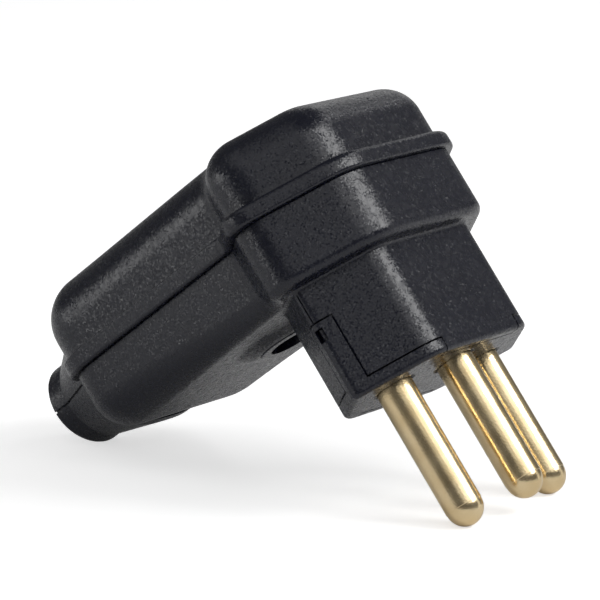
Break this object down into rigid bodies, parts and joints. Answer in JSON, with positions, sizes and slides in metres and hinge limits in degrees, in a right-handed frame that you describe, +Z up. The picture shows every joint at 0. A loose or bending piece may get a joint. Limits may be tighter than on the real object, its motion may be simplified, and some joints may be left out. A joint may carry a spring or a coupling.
{
  "type": "right-angle locking power plug",
  "caption": "Right-angle rewireable mains plug: black two-part body with a six-sided nose, snap-in pin carrier, round brass pins and a split cable collar.",
  "frame": {"origin": "centre of the base of the bounding box, on the surface that the plug lies on", "axes": "+Z up; +Y level, from the head towards the cable end; +X level, towards the neutral pin. The plug lies on its two outer pin tips and the end of its cable collar, so its pins point down and forward."},
  "size_m": [0.0434, 0.0724, 0.0481],
  "materials": {
    "black_plastic": "spark-textured black moulding with a soft sheen",
    "brass": "turned brass, lightly brushed",
    "steel": "plain zinc-plated steel"
  },
  "bodies": {
    "root": {"upper_shell": "black_plastic", "lower_shell": "black_plastic", "pin_carrier": "black_plastic", "line_pin": "brass", "neutral_pin": "brass", "earth_pin": "brass", "line_terminal_screw": "steel", "neutral_terminal_screw": "steel", "earth_terminal_screw": "steel", "housing_screw": "steel", "cord_clamp": "black_plastic", "left_clamp_screw": "steel", "right_clamp_screw": "steel"}
  },
  "joints": []
}
